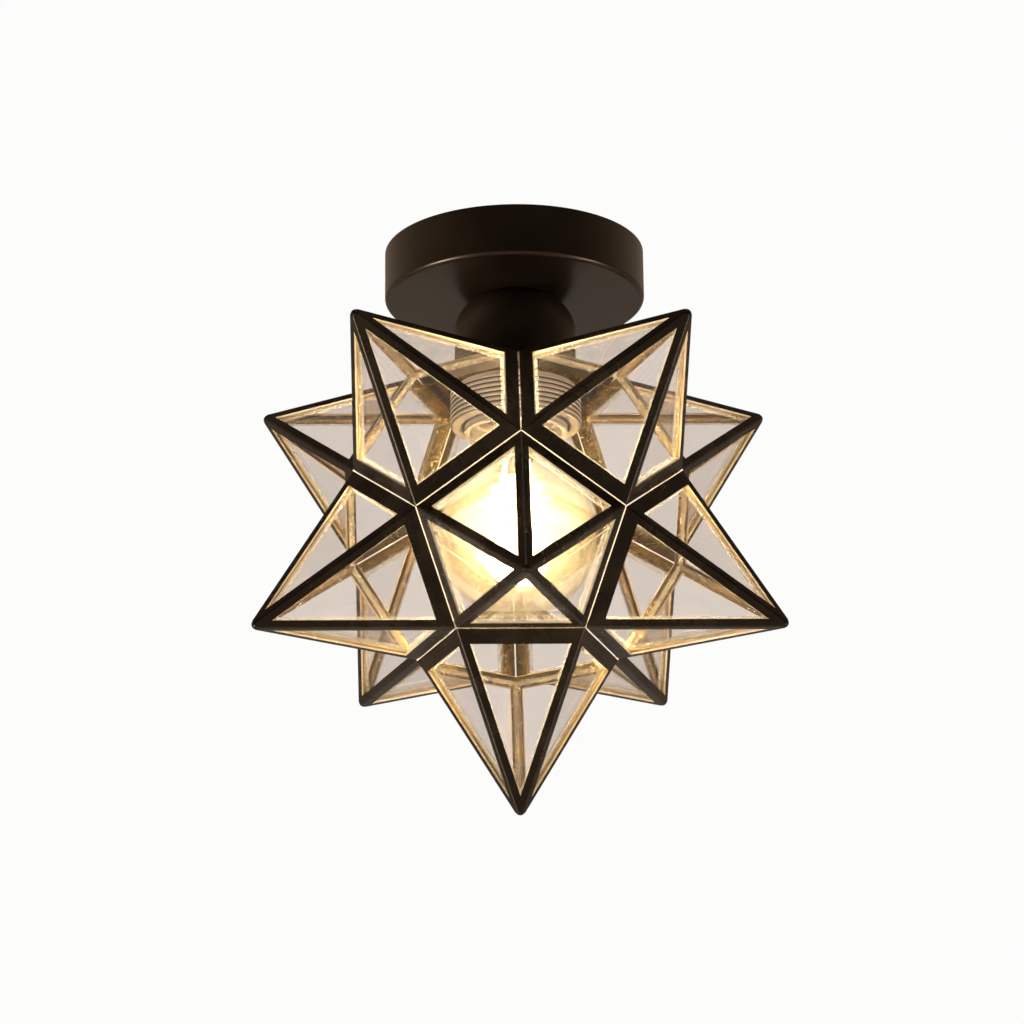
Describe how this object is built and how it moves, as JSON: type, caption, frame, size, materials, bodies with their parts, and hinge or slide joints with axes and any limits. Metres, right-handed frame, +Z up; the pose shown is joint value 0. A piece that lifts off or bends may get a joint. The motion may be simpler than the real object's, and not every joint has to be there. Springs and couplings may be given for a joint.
{
  "type": "semi-flush ceiling light",
  "caption": "Semi-flush ceiling light with a star shade of glass points in dark metal strips, a domed neck and a round canopy; the bottom point opens for the bulb.",
  "frame": {"origin": "centre of the ceiling plane, midway between the bracket's two screw slots", "axes": "+Z up into the ceiling, +X along the bracket, -Y towards the front of the pictured view"},
  "size_m": [0.1956, 0.2056, 0.2218],
  "materials": {
    "black_steel": "satin black-brown lacquer on spun steel",
    "aged_brass": "dark patina outside, brushed antique gold where it is worn and inside",
    "pane_glass": "clear flat glass",
    "bulb_glass": "clear blown glass",
    "zinc_steel": "zinc plated",
    "bright_brass": "plain rolled brass",
    "bulb_cap_metal": "plain thin sheet, rolled beads",
    "spring_steel": "plain wire and spring sheet",
    "magnet_nickel": "nickel plated",
    "dark_solder": "blackened solder",
    "holder_plastic": "moulded, warm white",
    "white_plastic": "moulded",
    "white_ceramic": "glazed ceramic look",
    "black_glass": "black vitrite look",
    "filament_coating": "yellow coated rods, lit",
    "brown_insulation": "smooth wire insulation",
    "blue_insulation": "smooth wire insulation",
    "green_insulation": "smooth wire insulation, green and yellow"
  },
  "bodies": {
    "root": {"canopy": "black_steel", "neck": "black_steel", "ceiling_bracket": "zinc_steel", "canopy_grub_screws": "black_steel", "earth_screw": "zinc_steel", "earth_tag": "zinc_steel", "terminal_block": "white_plastic", "terminal_screws": "zinc_steel", "threaded_tube": "zinc_steel", "lock_nuts": "zinc_steel", "lock_washer": "zinc_steel", "live_lead": "brown_insulation", "neutral_lead": "blue_insulation", "earth_lead": "green_insulation", "holder_cap": "holder_plastic", "holder_body": "holder_plastic", "shade_ring": "holder_plastic", "holder_insert": "white_ceramic", "holder_terminals": "bright_brass", "screw_shell": "bright_brass", "contact_spring": "spring_steel", "star_top_plate": "aged_brass", "solder_joints": "dark_solder", "hinge_leaf_fixed": "aged_brass", "hinge_pin": "aged_brass", "door_magnet": "magnet_nickel", "upper_back_frame": "aged_brass", "upper_left_rear_frame": "aged_brass", "upper_left_front_frame": "aged_brass", "upper_right_front_frame": "aged_brass", "upper_right_rear_frame": "aged_brass", "lower_front_frame": "aged_brass", "lower_right_front_frame": "aged_brass", "lower_right_rear_frame": "aged_brass", "lower_left_rear_frame": "aged_brass", "lower_left_front_frame": "aged_brass", "upper_back_glass": "pane_glass", "upper_left_rear_glass": "pane_glass", "upper_left_front_glass": "pane_glass", "upper_right_front_glass": "pane_glass", "upper_right_rear_glass": "pane_glass", "lower_front_glass": "pane_glass", "lower_right_front_glass": "pane_glass", "lower_right_rear_glass": "pane_glass", "lower_left_rear_glass": "pane_glass", "lower_left_front_glass": "pane_glass"},
    "door": {"door_frame": "aged_brass", "door_glass": "pane_glass", "hinge_leaf_door": "aged_brass", "door_keeper": "zinc_steel"},
    "contact": {"centre_contact": "bright_brass"},
    "bulb_foot": {"bulb_insulator": "black_glass", "bulb_tip": "bulb_cap_metal"},
    "bulb": {"bulb_glass": "bulb_glass", "bulb_cap": "bulb_cap_metal", "bulb_stem": "bulb_glass", "bulb_filaments": "filament_coating", "bulb_support_wires": "spring_steel"}
  },
  "joints": [
    {"name": "door_hinge", "type": "hinge", "parent": "root", "child": "door", "pos_m": [0.01963, 0.02702, -0.16097], "axis": [0.809, -0.5878, 0], "range_deg": [0, 105]},
    {"name": "bulb_travel", "type": "slide", "parent": "root", "child": "bulb_foot", "axis": [0, 0, -1], "range_m": [0, 0.0128]},
    {"name": "bulb_turn", "type": "hinge", "parent": "bulb_foot", "child": "bulb", "pos_m": [0, 0, -0.06], "axis": [0, 0, -1], "range_deg": [0, 1260]},
    {"name": "contact_press", "type": "slide", "parent": "root", "child": "contact", "axis": [0, 0, 1], "range_m": [0, 0.001], "stiffness_N_per_m": 1500, "springref_m": -0.0005, "deforming": ["contact_spring"]}
  ],
  "couplings": [
    {"joint": "bulb_travel", "follows": "bulb_turn", "m_per_rad": 0.0005776}
  ]
}
